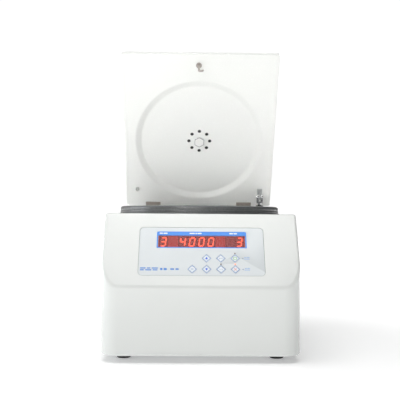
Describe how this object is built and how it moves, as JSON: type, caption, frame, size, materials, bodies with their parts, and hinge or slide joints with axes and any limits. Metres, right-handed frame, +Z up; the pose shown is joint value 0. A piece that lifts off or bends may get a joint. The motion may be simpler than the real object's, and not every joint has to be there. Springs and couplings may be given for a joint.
{
  "type": "laboratory centrifuge",
  "caption": "Bench centrifuge with a hinged lid over a round chamber, a swing-out rotor, and a sloped control panel with a red display and diamond keys.",
  "frame": {"origin": "on the bench, under the middle of the housing", "axes": "+Z up, the front with the control panel faces -Y, +X to the right seen from the front"},
  "size_m": [0.263, 0.3541, 0.4561],
  "materials": {
    "shell": "gloss",
    "liner": "satin",
    "steel": "brushed",
    "dark_steel": "satin",
    "chrome": "polished",
    "alu": "satin",
    "rubber_black": "matte",
    "rubber_grey": "matte",
    "black_paint": "gloss",
    "grey_paint": "satin",
    "black_plastic": "matte",
    "board": "satin",
    "film": "satin",
    "film_blue": "satin",
    "film_red": "gloss",
    "display": "matte",
    "lamp": "gloss",
    "key": "satin",
    "brass": "polished",
    "lens": "gloss"
  },
  "bodies": {
    "base": {"housing": "shell", "base_plate": "steel", "bottom_screws": "steel", "feet": "rubber_black", "guard_ring": "grey_paint", "chamber_bowl": "steel", "seal_ring": "rubber_grey", "shaft_boot": "rubber_black", "motor": "grey_paint", "motor_plate": "steel", "dampers": "rubber_black", "lock_frame": "steel", "lock_solenoid": "grey_paint", "lid_switch": "black_plastic", "overlay": "film", "display_bezel": "film_blue", "display_window": "film_red", "digit_modules": "display", "display_board": "board", "key_switches": "black_plastic", "indicator_lamps": "lamp", "drive_board": "board", "drive_parts": "alu", "rear_panel": "steel", "rear_screws": "steel", "inlet": "black_plastic", "inlet_pins": "brass", "fuse_holder": "black_plastic", "rocker_frame": "black_plastic", "hinge_bases": "dark_steel", "hinge_pins": "steel", "stay_foot": "steel"},
    "lid": {"lid_shell": "shell", "lid_liner": "liner", "sight_port": "liner", "sight_lens": "lens", "striker": "dark_steel", "lid_hinges": "dark_steel", "lid_stud": "steel", "stay_bracket": "dark_steel"},
    "stay_tube": {"stay_clevis": "chrome", "stay_tube": "black_paint"},
    "stay_rod": {"stay_rod": "chrome"},
    "rotor": {"rotor_shaft": "steel", "rotor_yoke": "alu", "rotor_nut": "steel"},
    "bucket_1": {"bucket_1": "alu"},
    "bucket_2": {"bucket_2": "alu"},
    "bucket_3": {"bucket_3": "alu"},
    "bucket_4": {"bucket_4": "alu"},
    "lock_bolt": {"lock_bolt": "steel"},
    "rocker": {"rocker": "black_plastic"},
    "key_1": {"key_1": "key"},
    "key_2": {"key_2": "key"},
    "key_3": {"key_3": "key"},
    "key_4": {"key_4": "key"},
    "key_5": {"key_5": "key"},
    "key_6": {"key_6": "key"},
    "key_7": {"key_7": "key"}
  },
  "joints": [
    {"name": "lid_hinge", "type": "hinge", "parent": "base", "child": "lid", "pos_m": [0, 0.167, 0.2047], "axis": [1, 0, 0], "range_deg": [0, 60]},
    {"name": "stay_tube_hinge", "type": "hinge", "parent": "lid", "child": "stay_tube", "pos_m": [0.107, 0.14557, 0.22581], "axis": [1, 0, 0], "range_deg": [-53.3, 0]},
    {"name": "stay_rod_hinge", "type": "hinge", "parent": "base", "child": "stay_rod", "pos_m": [0.107, 0.162, 0.09], "axis": [1, 0, 0], "range_deg": [0, 6.9]},
    {"name": "rotor_spin", "type": "hinge", "parent": "base", "child": "rotor", "pos_m": [0, 0.0385, 0.146], "axis": [0, 0, 1], "continuous": true},
    {"name": "bucket_1_swing", "type": "hinge", "parent": "rotor", "child": "bucket_1", "pos_m": [0.048, 0.0385, 0.146], "axis": [0, -1, 0], "range_deg": [-8, 90]},
    {"name": "bucket_2_swing", "type": "hinge", "parent": "rotor", "child": "bucket_2", "pos_m": [0, 0.0865, 0.146], "axis": [1, 0, 0], "range_deg": [-8, 90]},
    {"name": "bucket_3_swing", "type": "hinge", "parent": "rotor", "child": "bucket_3", "pos_m": [-0.048, 0.0385, 0.146], "axis": [0, 1, 0], "range_deg": [-8, 90]},
    {"name": "bucket_4_swing", "type": "hinge", "parent": "rotor", "child": "bucket_4", "pos_m": [0, -0.0095, 0.146], "axis": [-1, 0, 0], "range_deg": [-8, 90]},
    {"name": "lock_bolt_slide", "type": "slide", "parent": "base", "child": "lock_bolt", "axis": [-1, 0, 0], "range_m": [0, 0.0065], "stiffness_N_per_m": 300},
    {"name": "rocker_tilt", "type": "hinge", "parent": "base", "child": "rocker", "pos_m": [-0.072, 0.173, 0.082], "axis": [1, 0, 0], "range_deg": [-16, 0]},
    {"name": "key_1_press", "type": "slide", "parent": "base", "child": "key_1", "axis": [0, 0.844, -0.5363], "range_m": [0, 0.0004], "stiffness_N_per_m": 2500},
    {"name": "key_2_press", "type": "slide", "parent": "base", "child": "key_2", "axis": [0, 0.844, -0.5363], "range_m": [0, 0.0004], "stiffness_N_per_m": 2500},
    {"name": "key_3_press", "type": "slide", "parent": "base", "child": "key_3", "axis": [0, 0.844, -0.5363], "range_m": [0, 0.0004], "stiffness_N_per_m": 2500},
    {"name": "key_4_press", "type": "slide", "parent": "base", "child": "key_4", "axis": [0, 0.844, -0.5363], "range_m": [0, 0.0004], "stiffness_N_per_m": 2500},
    {"name": "key_5_press", "type": "slide", "parent": "base", "child": "key_5", "axis": [0, 0.844, -0.5363], "range_m": [0, 0.0004], "stiffness_N_per_m": 2500},
    {"name": "key_6_press", "type": "slide", "parent": "base", "child": "key_6", "axis": [0, 0.844, -0.5363], "range_m": [0, 0.0004], "stiffness_N_per_m": 2500},
    {"name": "key_7_press", "type": "slide", "parent": "base", "child": "key_7", "axis": [0, 0.844, -0.5363], "range_m": [0, 0.0004], "stiffness_N_per_m": 2500}
  ],
  "couplings": [
    {"joint": "stay_tube_hinge", "follows": "lid_hinge", "ratio": -0.8868},
    {"joint": "stay_rod_hinge", "follows": "lid_hinge", "ratio": 0.1132}
  ]
}
